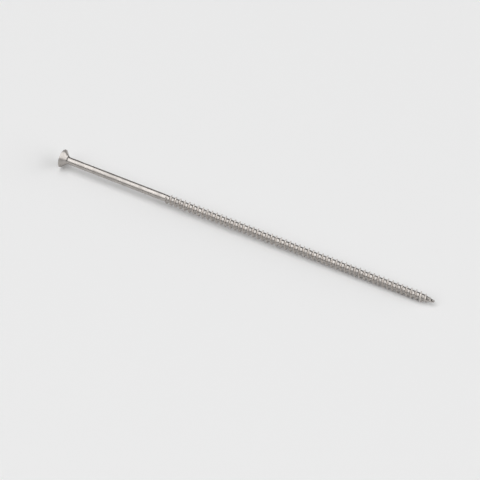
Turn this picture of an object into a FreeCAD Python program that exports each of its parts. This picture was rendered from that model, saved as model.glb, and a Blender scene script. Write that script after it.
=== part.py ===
import FreeCAD, Part
import math
import os
from FreeCAD import Placement, Rotation, Vector

# A long countersunk wood screw, lying on a flat surface as it comes to rest.
# It is one forged and rolled piece of steel: a countersunk head with a cross recess,
# a plain shank, and a sharp right-hand wood thread that runs out to a gimlet point.
# The screw is modelled upright in its own axes, with the middle of the head's flat face
# at the origin and the point up the Z axis, and is laid down at the end.
# Lengths are in millimetres and angles in degrees.

# Whole screw
screw_length = 160.0
shank_diameter = 2.8

# Head: a flat face, a thin upright rim and a cone down to the shank
head_diameter = 7.2
head_angle = 90.0
rim_height = 0.3
neck_radius = 1.2

# Cross recess: four wings that taper towards the bottom, and a conical floor
recess_width = 4.4
recess_floor_width = 2.3
recess_depth = 2.0
wing_thickness = 1.05
wing_floor_thickness = 0.7
floor_cone_diameter = 1.4
floor_cone_angle = 28.0

# Thread: the length takes in the point, and the core is the steel under the ridge
thread_length = 114.5
thread_diameter = 4.0
core_diameter = 2.6
pitch = 1.975
flank_angle = 60.0
run_in_turns = 0.5

# Gimlet point: the core and the ridge both taper over its length to a small blunt end
point_length = 4.7
blunt_end_diameter = 0.8

# Sizes worked out from those above
head_radius = head_diameter / 2
shank_radius = shank_diameter / 2
core_radius = core_diameter / 2
crest_radius = thread_diameter / 2
ridge_height = crest_radius - core_radius
blunt_end_radius = blunt_end_diameter / 2
thread_turns = round(thread_length / pitch)
thread_start = screw_length - thread_turns * pitch
run_in_end = thread_start + run_in_turns * pitch
taper_start = screw_length - point_length

# The helical edges are laid out as short straight lines, so many to a turn
edges_per_turn = 18
edge_turns = 1 / edges_per_turn

# The crest keeps its full height up to the last of its corners before the point
full_crest_turns = math.floor((taper_start - thread_start) / pitch * edges_per_turn) * edge_turns

AXIS = Vector(0, 0, 1)
ORIGIN = Vector(0, 0, 0)
HALF_TURN = 180
QUARTER_TURN = 90

# A ruled face takes both of its edges in the direction in which they were drawn
EDGES_AS_DRAWN = 1


def share(value, start, end):
    """How far value has come from start to end, held between 0 and 1."""
    return min(1.0, max(0.0, (value - start) / (end - start)))


def core_radius_at(z):
    """Radius of the core: shank, then a slight taper under the run-in, core, and point."""
    on_run_in = share(z, thread_start, run_in_end)
    on_point = share(z, taper_start, screw_length)
    radius = shank_radius + (core_radius - shank_radius) * on_run_in
    return radius + (blunt_end_radius - core_radius) * on_point


def ridge_height_at(z):
    """Height of the ridge over the core: it rises along the run-in and falls on the point."""
    on_run_in = share(z, thread_start, run_in_end)
    on_point = share(z, taper_start, screw_length)
    return ridge_height * min(on_run_in, 1.0 - on_point)


def on_screw(radius, turns, z):
    """A point at this radius and height, as many turns round as the helix has come."""
    angle = 2 * math.pi * turns
    return Vector(radius * math.cos(angle), radius * math.sin(angle), z)


def helix_height(turns):
    return thread_start + pitch * turns


def crest_point(turns):
    z = helix_height(turns)
    return on_screw(core_radius_at(z) + ridge_height_at(z), turns, z)


def foot_point(turns, side):
    """Foot of the ridge on the core, on its head side (-1) or its point side (+1)."""
    z = helix_height(turns)
    half_width = ridge_height_at(z) * math.tan(math.radians(flank_angle / 2))
    foot_z = z + side * half_width
    return on_screw(core_radius_at(foot_z), turns, foot_z)


def head_side_foot(turns):
    return foot_point(turns, -1)


def point_side_foot(turns):
    return foot_point(turns, 1)


def winding_edge(place, first_turn):
    """One straight edge of a helical line, between two of the corners that place gives."""
    return Part.makeLine(place(first_turn), place(first_turn + edge_turns))


def ring_edge(radius, z, first_turn):
    """The same part of a turn on a plain ring round the core."""
    start = on_screw(radius, first_turn, z)
    middle = on_screw(radius, first_turn + edge_turns / 2, z)
    end = on_screw(radius, first_turn + edge_turns, z)
    return Part.Arc(start, middle, end).toShape()


def band(edge, next_edge):
    """The face spanned by straight lines between two edges that run the same way."""
    return Part.makeRuledSurface(edge, next_edge, EDGES_AS_DRAWN)


def thread_faces():
    """Both flanks of the ridge and the core between its turns, wound as narrow bands."""
    faces = []
    edge_count = thread_turns * edges_per_turn
    for count in range(edge_count):
        in_first_turn = count < edges_per_turn
        in_last_turn = count >= edge_count - edges_per_turn
        turn = count * edge_turns
        head_side = winding_edge(head_side_foot, turn)
        crest = winding_edge(crest_point, turn)
        point_side = winding_edge(point_side_foot, turn)
        if in_first_turn:
            ring = ring_edge(shank_radius, thread_start, turn)
            faces.append(band(ring, head_side))
        faces.append(band(head_side, crest))
        faces.append(band(crest, point_side))
        if in_last_turn:
            next_head_side = ring_edge(blunt_end_radius, screw_length, turn)
        else:
            next_head_side = winding_edge(head_side_foot, turn + 1)
        faces.append(band(point_side, next_head_side))
    return faces


def blunt_end_face():
    first_turns = [count * edge_turns for count in range(edges_per_turn)]
    ring = [ring_edge(blunt_end_radius, screw_length, turn) for turn in first_turns]
    return Part.Face(Part.Wire(ring))


def head_and_shank_outline():
    """Half outline from the middle of the flat face out over the rim and along the shank."""
    slope = math.radians(head_angle / 2)
    cone_end = rim_height + (head_radius - shank_radius) / math.tan(slope)
    tangent_length = neck_radius * math.tan(slope / 2)
    rim_top = Vector(head_radius, 0, 0)
    rim_foot = Vector(head_radius, 0, rim_height)
    neck_start = Vector(
        shank_radius + tangent_length * math.sin(slope), 0, cone_end - tangent_length * math.cos(slope))
    neck_end = Vector(shank_radius, 0, cone_end + tangent_length)
    neck_centre = Vector(shank_radius + neck_radius, 0, neck_end.z)
    neck_middle = neck_centre + Vector(-math.cos(slope / 2), 0, -math.sin(slope / 2)) * neck_radius
    shank_end = Vector(shank_radius, 0, thread_start)
    return Part.Wire([
        Part.makeLine(ORIGIN, rim_top),
        Part.makeLine(rim_top, rim_foot),
        Part.makeLine(rim_foot, neck_start),
        Part.Arc(neck_start, neck_middle, neck_end).toShape(),
        Part.makeLine(neck_end, shank_end),
    ])


def head_and_shank_faces():
    """The outline turned about the axis, in two halves."""
    faces = []
    for start in (0, HALF_TURN):
        outline = head_and_shank_outline()
        outline.rotate(ORIGIN, AXIS, start)
        faces += outline.revolve(ORIGIN, AXIS, HALF_TURN).Faces
    return faces


def wing_section(width, thickness, z):
    """Rectangle across the axis, as wide as two opposite wings."""
    corners = [
        Vector(-width / 2, -thickness / 2, z),
        Vector(width / 2, -thickness / 2, z),
        Vector(width / 2, thickness / 2, z),
        Vector(-width / 2, thickness / 2, z),
    ]
    return Part.makePolygon(corners + corners[:1])


def recess_cutter():
    """Two crossed tapered wings and the cone that forms the floor of the recess."""
    sections = [
        wing_section(recess_width, wing_thickness, 0),
        wing_section(recess_floor_width, wing_floor_thickness, recess_depth),
    ]
    solid, straight = True, True
    wings = Part.makeLoft(sections, solid, straight)
    crossed_wings = wings.copy()
    crossed_wings.rotate(ORIGIN, AXIS, QUARTER_TURN)
    cone_radius = floor_cone_diameter / 2
    cone_height = cone_radius * math.tan(math.radians(floor_cone_angle))
    cone = Part.makeCone(cone_radius, 0, cone_height, Vector(0, 0, recess_depth))
    return wings.fuse([crossed_wings, cone])


def upright_screw():
    skin = Part.makeCompound(head_and_shank_faces() + thread_faces() + [blunt_end_face()])
    # The first pass joins the corners where the ridge runs out, and the second the edges there
    skin.sewShape()
    skin.sewShape()
    blank = Part.makeSolid(skin.Shells[0])
    return blank.cut(recess_cutter())


def lying_placement():
    """Lays the screw along +X, on the foot of its rim and on the last full edge of its crest."""
    rest_turns = full_crest_turns - edge_turns / 2
    rest_radius = crest_radius * math.cos(math.pi * edge_turns)
    rest_span = helix_height(rest_turns) - rim_height
    tilt = math.atan2(head_radius - rest_radius, rest_span)
    axis = Vector(math.cos(tilt), 0, -math.sin(tilt))
    down = Vector(-math.sin(tilt), 0, -math.cos(tilt))
    side = Vector(0, 1, 0)
    rim_end_x = -head_radius * math.sin(tilt)
    point_end_x = screw_length * math.cos(tilt) + blunt_end_radius * math.sin(tilt)
    head_centre_z = head_radius * math.cos(tilt) + rim_height * math.sin(tilt)
    head_centre = Vector(-(rim_end_x + point_end_x) / 2, 0, head_centre_z)
    edge_down = Placement(ORIGIN, Rotation(AXIS, -2 * HALF_TURN * rest_turns))
    lay_down = Placement(head_centre, Rotation(down, side, axis, "ZXY"))
    return lay_down.multiply(edge_down)


os.makedirs("parts", exist_ok=True)
screw = upright_screw()
screw.Placement = lying_placement()
screw.exportStep("parts/wood_screw.step")
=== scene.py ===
import bmesh
import bpy
import math
from mathutils import Matrix, Vector


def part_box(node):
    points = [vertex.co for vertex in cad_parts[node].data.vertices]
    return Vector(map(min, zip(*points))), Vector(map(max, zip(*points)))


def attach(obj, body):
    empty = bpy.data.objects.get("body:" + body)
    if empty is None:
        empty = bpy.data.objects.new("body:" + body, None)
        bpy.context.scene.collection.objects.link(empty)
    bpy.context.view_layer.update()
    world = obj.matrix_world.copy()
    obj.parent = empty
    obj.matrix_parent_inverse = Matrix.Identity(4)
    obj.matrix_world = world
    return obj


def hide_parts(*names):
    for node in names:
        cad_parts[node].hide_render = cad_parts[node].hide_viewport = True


# The screw is modelled upright in its own axes, with the middle of the head's flat face at the
# origin and the point up the Z axis, and is laid down where the CAD solid lies.
# Lengths are in metres. Angles are in radians, apart from the lamps' places, which are in degrees.

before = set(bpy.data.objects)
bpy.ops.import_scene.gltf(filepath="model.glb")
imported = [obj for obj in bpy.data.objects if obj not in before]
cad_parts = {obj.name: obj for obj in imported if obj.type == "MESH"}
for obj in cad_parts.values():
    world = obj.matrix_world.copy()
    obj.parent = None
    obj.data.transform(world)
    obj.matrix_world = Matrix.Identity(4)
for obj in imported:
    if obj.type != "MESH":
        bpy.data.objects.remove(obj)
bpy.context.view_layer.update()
low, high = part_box("wood_screw")

MM = 0.001

# Sizes of the screw, as in the CAD model
screw_length = 160.0 * MM
shank_radius = 1.4 * MM
head_radius = 3.6 * MM
head_slope = math.radians(45)
rim_height = 0.3 * MM
neck_radius = 1.2 * MM
core_radius = 1.3 * MM
crest_radius = 2.0 * MM
pitch = 1.975 * MM
thread_turns = 58
run_in_turns = 0.5
half_flank_angle = math.radians(30)
point_length = 4.7 * MM
blunt_end_radius = 0.4 * MM
recess_width = 4.4 * MM
recess_floor_width = 2.3 * MM
recess_depth = 2.0 * MM
wing_thickness = 1.05 * MM
wing_floor_thickness = 0.7 * MM
floor_cone_radius = 0.7 * MM
floor_cone_angle = math.radians(28)

# The CAD solid's helix has so many straight edges to a turn, and lies on the middle of one
cad_edges_per_turn = 18

ridge_height = crest_radius - core_radius
thread_start = screw_length - thread_turns * pitch
run_in_end = thread_start + run_in_turns * pitch
taper_start = screw_length - point_length
full_crest_edges = math.floor((taper_start - thread_start) / pitch * cad_edges_per_turn)
rest_turns = (full_crest_edges - 0.5) / cad_edges_per_turn

# Small roundings that rolling and forging leave
crest_rounding = 0.05 * MM
foot_rounding = 0.2 * MM
edge_rounding = 0.06 * MM

# How finely the mesh is divided
segments = 64
shank_ring_spacing = 2.0 * MM
rounding_steps = 4
neck_steps = 8
crest_steps = 2
foot_steps = 3

# Where the ridge is low, its rows still keep this share of the width that they have on a full ridge
least_spread = 0.1

# Corners that lie this close together are joined, and edges sharper than the angle stay crisp
joining_distance = 0.0005 * MM
crisp_angle = math.radians(35)

# Shares of the recess's depth by which its cutters reach past the face and into each other
wing_overreach = 0.2
floor_overreach = 0.1

# Width of the drawn marks across the screw, how little they vary along it, and their depth
streak_width = 0.15 * MM
streak_squeeze = 0.02
streak_depth = 0.004 * MM

# Size of the dull patches, and size and depth of the fine grain
mottling_size = 2.5 * MM
grain_size = 0.12 * MM
grain_depth = 0.003 * MM

# The thread's root is the core with this share of the ridge; the thread's painted sheen and the painted
# shade in its roots come in over so many turns
root_share = 0.3
fade_in_turns = 2

# Where the camera stands: azimuth 0 looks along +Y, and the pixels are of the 480 px photograph
camera_azimuth = math.radians(28.8)
camera_elevation = math.radians(43.5)
camera_distance = 1.9
photo_size = 480
screw_middle_pixel = (245.7, 227.3)
metres_per_pixel = 0.3773 * MM

# All the lamps stand this far from the screw, so that the floor round it is evenly lit
light_distance = 2.7
world_strength = 0.16

floor_half_width = 20.0
floor_colour = (0.94, 0.94, 0.94, 1)

# Signs of x and y at the corners of a rectangle round the origin, in turn
CORNER_SIGNS = ((-1, -1), (1, -1), (1, 1), (-1, 1))

# The colour sockets of a Mix node go by their places, because several of its sockets share a name
FIRST_COLOUR = 6
SECOND_COLOUR = 7
MIXED_COLOUR = 2


def share(value, start, end):
    """How far value has come from start to end, held between 0 and 1."""
    return min(1.0, max(0.0, (value - start) / (end - start)))


def core_radius_at(z):
    """Radius of the core: shank, then a slight taper under the run-in, core, and point."""
    on_run_in = share(z, thread_start, run_in_end)
    on_point = share(z, taper_start, screw_length)
    radius = shank_radius + (core_radius - shank_radius) * on_run_in
    return radius + (blunt_end_radius - core_radius) * on_point


def ridge_share_at(z):
    """Height of the ridge there, as a share of its full height."""
    on_run_in = share(z, thread_start, run_in_end)
    on_point = share(z, taper_start, screw_length)
    return min(on_run_in, 1.0 - on_point)


def rise_beside_crest(distance, full_share):
    """Height over the core beside a crest, with the crest and the foot of the flank rounded."""
    if full_share <= 0:
        return 0.0
    if distance < crest_rounding:
        run = distance ** 2 / (2 * crest_rounding)
    else:
        run = distance - crest_rounding / 2
    rise = ridge_height * full_share - run / math.tan(half_flank_angle)
    blend = foot_rounding * full_share
    if rise <= -blend:
        return 0.0
    if rise >= blend:
        return rise
    return (rise + blend) ** 2 / (4 * blend)


def offsets_across():
    """Distances from a crest, over half a pitch, at which the mesh has a row of corners."""
    foot = ridge_height * math.tan(half_flank_angle) + crest_rounding / 2
    reach = foot_rounding * math.tan(half_flank_angle)
    on_crest = [crest_rounding * step / crest_steps for step in range(crest_steps + 1)]
    on_flank = (crest_rounding + foot - reach) / 2
    on_foot = [foot - reach + 2 * reach * step / foot_steps for step in range(foot_steps + 1)]
    return on_crest + [on_flank] + on_foot


def thread_row(turns):
    """Corners on the line along the axis from one crest to the next, at this turn of the helix."""
    crest_z = thread_start + pitch * turns
    next_crest_z = crest_z + pitch
    crest_share = ridge_share_at(crest_z)
    next_share = ridge_share_at(next_crest_z)
    up = [crest_z + offset * max(least_spread, crest_share) for offset in offsets_across()]
    down = [next_crest_z - offset * max(least_spread, next_share) for offset in offsets_across()]
    heights = up + [crest_z + pitch / 2] + down[::-1]
    angle = 2 * math.pi * turns
    row = []
    for z in heights:
        z = min(screw_length, max(thread_start, z))
        rise = max(
            rise_beside_crest(abs(z - crest_z), crest_share),
            rise_beside_crest(abs(next_crest_z - z), next_share))
        radius = core_radius_at(z) + rise
        row.append(Vector((radius * math.cos(angle), radius * math.sin(angle), z)))
    return row


def add_grid(mesh, rows):
    """Faces between neighbouring rows of as many corners each."""
    corners = [[mesh.verts.new(corner) for corner in row] for row in rows]
    for row, next_row in zip(corners, corners[1:]):
        for i in range(len(row) - 1):
            mesh.faces.new((row[i], next_row[i], next_row[i + 1], row[i + 1]))


def add_thread(mesh):
    """The rows start a turn early, because each reaches from its crest to the crest a turn on."""
    first = -segments
    last = thread_turns * segments
    rows = [thread_row(step / segments) for step in range(first, last + 1)]
    add_grid(mesh, rows)


def arc_points(centre, radius, start, end, steps):
    """Points (radius, z) round part of a circle in the half outline."""
    points = []
    for i in range(steps + 1):
        angle = start + (end - start) * i / steps
        points.append((centre[0] + radius * math.cos(angle), centre[1] + radius * math.sin(angle)))
    return points


def head_and_shank_outline():
    """Half outline (radius, z) from the rim of the flat face to the start of the thread."""
    quarter_turn = math.pi / 2
    cone_end = rim_height + (head_radius - shank_radius) / math.tan(head_slope)
    neck_end_z = cone_end + neck_radius * math.tan(head_slope / 2)
    edge_centre_radius = head_radius - edge_rounding
    rim_foot_centre_z = rim_height - edge_rounding * math.tan(head_slope / 2)
    rim_top = arc_points(
        (edge_centre_radius, edge_rounding), edge_rounding, -quarter_turn, 0, rounding_steps)
    rim_foot = arc_points(
        (edge_centre_radius, rim_foot_centre_z), edge_rounding, 0, head_slope, rounding_steps)
    neck = arc_points(
        (shank_radius + neck_radius, neck_end_z), neck_radius, math.pi + head_slope, math.pi, neck_steps)
    shank_length = thread_start - neck_end_z
    ring_count = round(shank_length / shank_ring_spacing)
    shank = [(shank_radius, neck_end_z + shank_length * i / ring_count) for i in range(1, ring_count + 1)]
    return rim_top + rim_foot + neck + shank


def add_turned(mesh, outline):
    """The skin that the half outline sweeps in a full turn."""
    rows = []
    for step in range(segments + 1):
        angle = 2 * math.pi * step / segments
        rows.append([Vector((r * math.cos(angle), r * math.sin(angle), z)) for r, z in outline])
    add_grid(mesh, rows)


def ring_corners(radius, z):
    angles = [2 * math.pi * step / segments for step in range(segments)]
    return [Vector((radius * math.cos(angle), radius * math.sin(angle), z)) for angle in angles]


def add_disc(mesh, radius, z):
    mesh.faces.new([mesh.verts.new(corner) for corner in ring_corners(radius, z)])


def add_sides(mesh, ring, next_ring):
    """Closed band of faces between two rings of as many corners each."""
    for i in range(len(ring)):
        j = (i + 1) % len(ring)
        mesh.faces.new((ring[i], ring[j], next_ring[j], next_ring[i]))


def wing_cutter():
    """Closed tapered block as wide as two opposite wings of the recess."""
    mesh = bmesh.new()
    rings = []
    for depth_share in (-wing_overreach, 1.0):
        width = recess_width + (recess_floor_width - recess_width) * depth_share
        thickness = wing_thickness + (wing_floor_thickness - wing_thickness) * depth_share
        z = recess_depth * depth_share
        corners = [(sx * width / 2, sy * thickness / 2, z) for sx, sy in CORNER_SIGNS]
        rings.append([mesh.verts.new(corner) for corner in corners])
    outer_ring, floor_ring = rings
    mesh.faces.new(outer_ring[::-1])
    mesh.faces.new(floor_ring)
    add_sides(mesh, outer_ring, floor_ring)
    return object_from(mesh, "wing_cutter")


def floor_cutter():
    """Cone that forms the floor of the recess, on a short cylinder."""
    mesh = bmesh.new()
    base_z = recess_depth * (1 - floor_overreach)
    tip_z = recess_depth + floor_cone_radius * math.tan(floor_cone_angle)
    tip = mesh.verts.new((0, 0, tip_z))
    cone_ring = [mesh.verts.new(corner) for corner in ring_corners(floor_cone_radius, recess_depth)]
    base_ring = [mesh.verts.new(corner) for corner in ring_corners(floor_cone_radius, base_z)]
    mesh.faces.new(base_ring)
    add_sides(mesh, base_ring, cone_ring)
    for i in range(segments):
        mesh.faces.new((cone_ring[i], cone_ring[(i + 1) % segments], tip))
    return object_from(mesh, "floor_cutter")


def object_from(mesh, name):
    """A new object in the scene with this mesh, its faces turned outwards."""
    bmesh.ops.recalc_face_normals(mesh, faces=mesh.faces)
    data = bpy.data.meshes.new(name)
    mesh.to_mesh(data)
    mesh.free()
    piece = bpy.data.objects.new(name, data)
    bpy.context.scene.collection.objects.link(piece)
    return piece


def apply_modifiers(piece):
    """Keeps the mesh that the modifiers make, and takes them off."""
    graph = bpy.context.evaluated_depsgraph_get()
    data = bpy.data.meshes.new_from_object(piece.evaluated_get(graph))
    piece.modifiers.clear()
    piece.data = data


def cut_with(piece, cutter):
    """Takes the cutter's form out of the piece, and then removes the cutter."""
    cut = piece.modifiers.new("cut", "BOOLEAN")
    cut.operation = "DIFFERENCE"
    cut.solver = "EXACT"
    cut.object = cutter
    apply_modifiers(piece)
    bpy.data.objects.remove(cutter)


def build_screw():
    """The whole screw, upright in its own axes."""
    mesh = bmesh.new()
    outline = head_and_shank_outline()
    face_radius = outline[0][0]
    add_turned(mesh, outline)
    add_thread(mesh)
    add_disc(mesh, face_radius, 0)
    add_disc(mesh, blunt_end_radius, screw_length)
    bmesh.ops.remove_doubles(mesh, verts=mesh.verts, dist=joining_distance)
    screw = object_from(mesh, "screw_finish")
    cut_with(screw, wing_cutter())
    crossing_cutter = wing_cutter()
    crossing_cutter.data.transform(Matrix.Rotation(math.pi / 2, 4, "Z"))
    cut_with(screw, crossing_cutter)
    cut_with(screw, floor_cutter())
    return screw


def lying_matrix():
    """Lays the screw along +X, on the foot of its rim and on its crest near the point."""
    rest_span = thread_start + pitch * rest_turns - rim_height
    tilt = math.atan2(head_radius - crest_radius, rest_span)
    axis = Vector((math.cos(tilt), 0, -math.sin(tilt)))
    down = Vector((-math.sin(tilt), 0, -math.cos(tilt)))
    side = Vector((0, 1, 0))
    head_centre_x = low.x + head_radius * math.sin(tilt)
    head_centre_z = head_radius * math.cos(tilt) + rim_height * math.sin(tilt)
    to_place = Matrix.Translation((head_centre_x, 0, head_centre_z))
    lay_down = to_place @ Matrix((down, side, axis)).transposed().to_4x4()
    return lay_down @ Matrix.Rotation(-2 * math.pi * rest_turns, 4, "Z")


class Shading:
    """Makes the nodes of one material, each from its inputs."""

    def __init__(self, name):
        self.material = bpy.data.materials.new(name)
        self.material.use_nodes = True
        self.tree = self.material.node_tree
        self.shader = self.tree.nodes["Principled BSDF"]

    def node(self, kind, settings=None, **inputs):
        """A new node. The inputs go by their sockets' names, with _ for a space."""
        made = self.tree.nodes.new(kind)
        for name, value in (settings or {}).items():
            setattr(made, name, value)
        for name, value in inputs.items():
            self.feed(made.inputs[name.replace("_", " ")], value)
        return made

    def feed(self, socket, value):
        """Gives the socket a plain value, or another node's output."""
        if isinstance(value, bpy.types.NodeSocket):
            self.tree.links.new(value, socket)
        else:
            socket.default_value = value

    def own_axes(self):
        """Coordinates in the screw's own axes, as it was modelled upright."""
        place = lying_matrix()
        coordinates = self.node("ShaderNodeTexCoord")
        mapping = self.node(
            "ShaderNodeMapping", {"vector_type": "TEXTURE"}, Vector=coordinates.outputs["Object"],
            Location=place.to_translation(), Rotation=place.to_euler())
        return mapping.outputs["Vector"]

    def stretched(self, vector, across, along):
        """The same coordinates, scaled across the axis and along it."""
        scaled = self.node("ShaderNodeVectorMath", {"operation": "MULTIPLY"})
        self.feed(scaled.inputs[0], vector)
        self.feed(scaled.inputs[1], (across, across, along))
        return scaled.outputs["Vector"]

    def distance_from_axis(self, vector):
        length = self.node("ShaderNodeVectorMath", {"operation": "LENGTH"})
        self.feed(length.inputs[0], self.stretched(vector, 1, 0))
        return length.outputs["Value"]

    def distance_along_axis(self, vector):
        return self.node("ShaderNodeSeparateXYZ", Vector=vector).outputs["Z"]

    def noise(self, vector, grain, detail):
        """Smooth noise whose grain is about this many metres across."""
        made = self.node("ShaderNodeTexNoise", Vector=vector, Scale=1 / grain, Detail=detail)
        return made.outputs["Fac"]

    def ramp(self, value, span, results):
        """Goes smoothly from the first result to the second as the value crosses the span."""
        made = self.node(
            "ShaderNodeMapRange", {"interpolation_type": "SMOOTHSTEP"}, Value=value,
            From_Min=span[0], From_Max=span[1], To_Min=results[0], To_Max=results[1])
        return made.outputs["Result"]

    def product(self, first, second):
        made = self.node("ShaderNodeMath", {"operation": "MULTIPLY"})
        self.feed(made.inputs[0], first)
        self.feed(made.inputs[1], second)
        return made.outputs["Value"]

    def blend(self, share_of_second, first, second):
        made = self.node("ShaderNodeMix", {"data_type": "RGBA"})
        self.feed(made.inputs["Factor"], share_of_second)
        self.feed(made.inputs[FIRST_COLOUR], first)
        self.feed(made.inputs[SECOND_COLOUR], second)
        return made.outputs[MIXED_COLOUR]

    def bump(self, height, distance, strength, normal=None):
        """A normal tilted by the height, on top of another one if there is one."""
        made = self.node("ShaderNodeBump", Height=height, Distance=distance, Strength=strength)
        if normal:
            self.feed(made.inputs["Normal"], normal)
        return made.outputs["Normal"]


def steel():
    """Stainless steel: drawn marks along it, faint mottling, a painted sheen on the thread and painted
    shade in its roots.
    """
    bright = (0.485, 0.456, 0.432, 1)
    dull = (0.42, 0.395, 0.374, 1)
    # Painted shade: a darker colour for the thread's roots
    root_shade = (0.4, 0.376, 0.356, 1)
    # Painted sheen: a lighter colour that makes the thread brighter than the shank
    thread_sheen = (0.62, 0.583, 0.552, 1)
    thread_sheen_share = 0.7
    paint = Shading("stainless_steel")
    own = paint.own_axes()
    streaks = paint.noise(paint.stretched(own, 1, streak_squeeze), streak_width, detail=3)
    mottling = paint.noise(own, mottling_size, detail=4)
    grain = paint.noise(own, grain_size, detail=2)
    root_top = core_radius + root_share * ridge_height
    in_root = paint.ramp(paint.distance_from_axis(own), (core_radius, root_top), (1, 0))
    fade_in_end = thread_start + fade_in_turns * pitch
    on_thread = paint.ramp(paint.distance_along_axis(own), (thread_start, fade_in_end), (0, 1))
    thread_root = paint.product(in_root, on_thread)
    dull_patches = paint.ramp(mottling, (0.35, 0.65), (0, 1))
    dull_streaks = paint.ramp(streaks, (0.45, 0.75), (0, 0.6))
    # Painted shade in the thread's roots, patchy with the mottling
    root_shade_patches = paint.product(thread_root, paint.ramp(mottling, (0.2, 0.6), (0.6, 1)))
    mottled = paint.blend(dull_patches, bright, dull)
    streaked = paint.blend(dull_streaks, mottled, dull)
    # Painted sheen over the thread
    with_thread_sheen = paint.blend(paint.product(on_thread, thread_sheen_share), streaked, thread_sheen)
    paint.feed(paint.shader.inputs["Base Color"], paint.blend(root_shade_patches, with_thread_sheen, root_shade))
    paint.shader.inputs["Metallic"].default_value = 1.0
    paint.feed(paint.shader.inputs["Roughness"], paint.ramp(mottling, (0.3, 0.7), (0.24, 0.36)))
    scratched = paint.bump(streaks, streak_depth, strength=0.35)
    grained = paint.bump(grain, grain_depth, strength=0.3, normal=scratched)
    paint.feed(paint.shader.inputs["Normal"], grained)
    return paint.material


def lay_floor():
    """A plain pale floor, matt and wide enough to reach past the edge of every picture."""
    mesh = bmesh.new()
    corners = [(sx * floor_half_width, sy * floor_half_width, 0) for sx, sy in CORNER_SIGNS]
    mesh.faces.new([mesh.verts.new(corner) for corner in corners])
    floor = object_from(mesh, "floor")
    material = bpy.data.materials.new("floor_white")
    material.use_nodes = True
    shader = material.node_tree.nodes["Principled BSDF"]
    shader.inputs["Base Color"].default_value = floor_colour
    shader.inputs["Roughness"].default_value = 0.8
    shader.inputs["Specular IOR Level"].default_value = 0.2
    floor.data.materials.append(material)


def direction_to(azimuth, elevation):
    """From the screw towards a place at this azimuth and elevation."""
    x = math.sin(azimuth) * math.cos(elevation)
    y = -math.cos(azimuth) * math.cos(elevation)
    return Vector((x, y, math.sin(elevation)))


def softbox(name, azimuth, elevation, width, height, brightness):
    """Soft light that faces the screw. Its brightness is its power over its area, divided by pi."""
    lamp = bpy.data.lights.new(name, "AREA")
    lamp.shape = "RECTANGLE"
    lamp.size = width
    lamp.size_y = height
    lamp.energy = brightness * math.pi * width * height
    light = bpy.data.objects.new(name, lamp)
    bpy.context.scene.collection.objects.link(light)
    towards = direction_to(math.radians(azimuth), math.radians(elevation))
    light.location = towards * light_distance
    light.rotation_euler = towards.to_track_quat("Z", "Y").to_euler()


def light_studio():
    """A weak even world, two soft lights over the screw, and two lower ones beyond its point."""
    world = bpy.data.worlds.new("studio")
    bpy.context.scene.world = world
    world.use_nodes = True
    background = world.node_tree.nodes["Background"]
    background.inputs["Color"].default_value = (1, 1, 1, 1)
    background.inputs["Strength"].default_value = world_strength
    softbox("near_softbox", azimuth=-29, elevation=40, width=2.7, height=1.8, brightness=1.3)
    softbox("overhead_softbox", azimuth=-95, elevation=72, width=3.0, height=2.4, brightness=1.7)
    softbox("point_side_softbox", azimuth=100, elevation=29, width=4.2, height=1.4, brightness=1.8)
    softbox("horizon_strip", azimuth=112, elevation=8, width=4.2, height=0.7, brightness=2.7)


def place_camera():
    """Puts the screw's middle on the photograph's pixel, at the photograph's angle and scale."""
    back = direction_to(camera_azimuth, camera_elevation)
    right = Vector((math.cos(camera_azimuth), math.sin(camera_azimuth), 0))
    up = back.cross(right)
    across = (screw_middle_pixel[0] - photo_size / 2) * metres_per_pixel
    down = (screw_middle_pixel[1] - photo_size / 2) * metres_per_pixel
    screw_middle = (low + high) / 2
    target = screw_middle - right * across + up * down
    to_place = Matrix.Translation(target + back * camera_distance)
    camera = bpy.data.objects.new("camera", bpy.data.cameras.new("camera"))
    bpy.context.scene.collection.objects.link(camera)
    camera.matrix_world = to_place @ Matrix((right, up, back)).transposed().to_4x4()
    camera.data.angle = 2 * math.atan(photo_size * metres_per_pixel / 2 / camera_distance)
    bpy.context.scene.camera = camera


def finish_screw():
    """Lays the finished screw in place of the CAD node, in one piece."""
    screw = build_screw()
    screw.data.transform(lying_matrix())
    screw.data.materials.clear()
    screw.data.materials.append(steel())
    screw.data.shade_smooth()
    screw.data.set_sharp_from_angle(angle=crisp_angle)
    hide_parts("wood_screw")
    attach(screw, "root")


finish_screw()
lay_floor()
light_studio()
place_camera()
bpy.context.scene.view_settings.view_transform = "Standard"
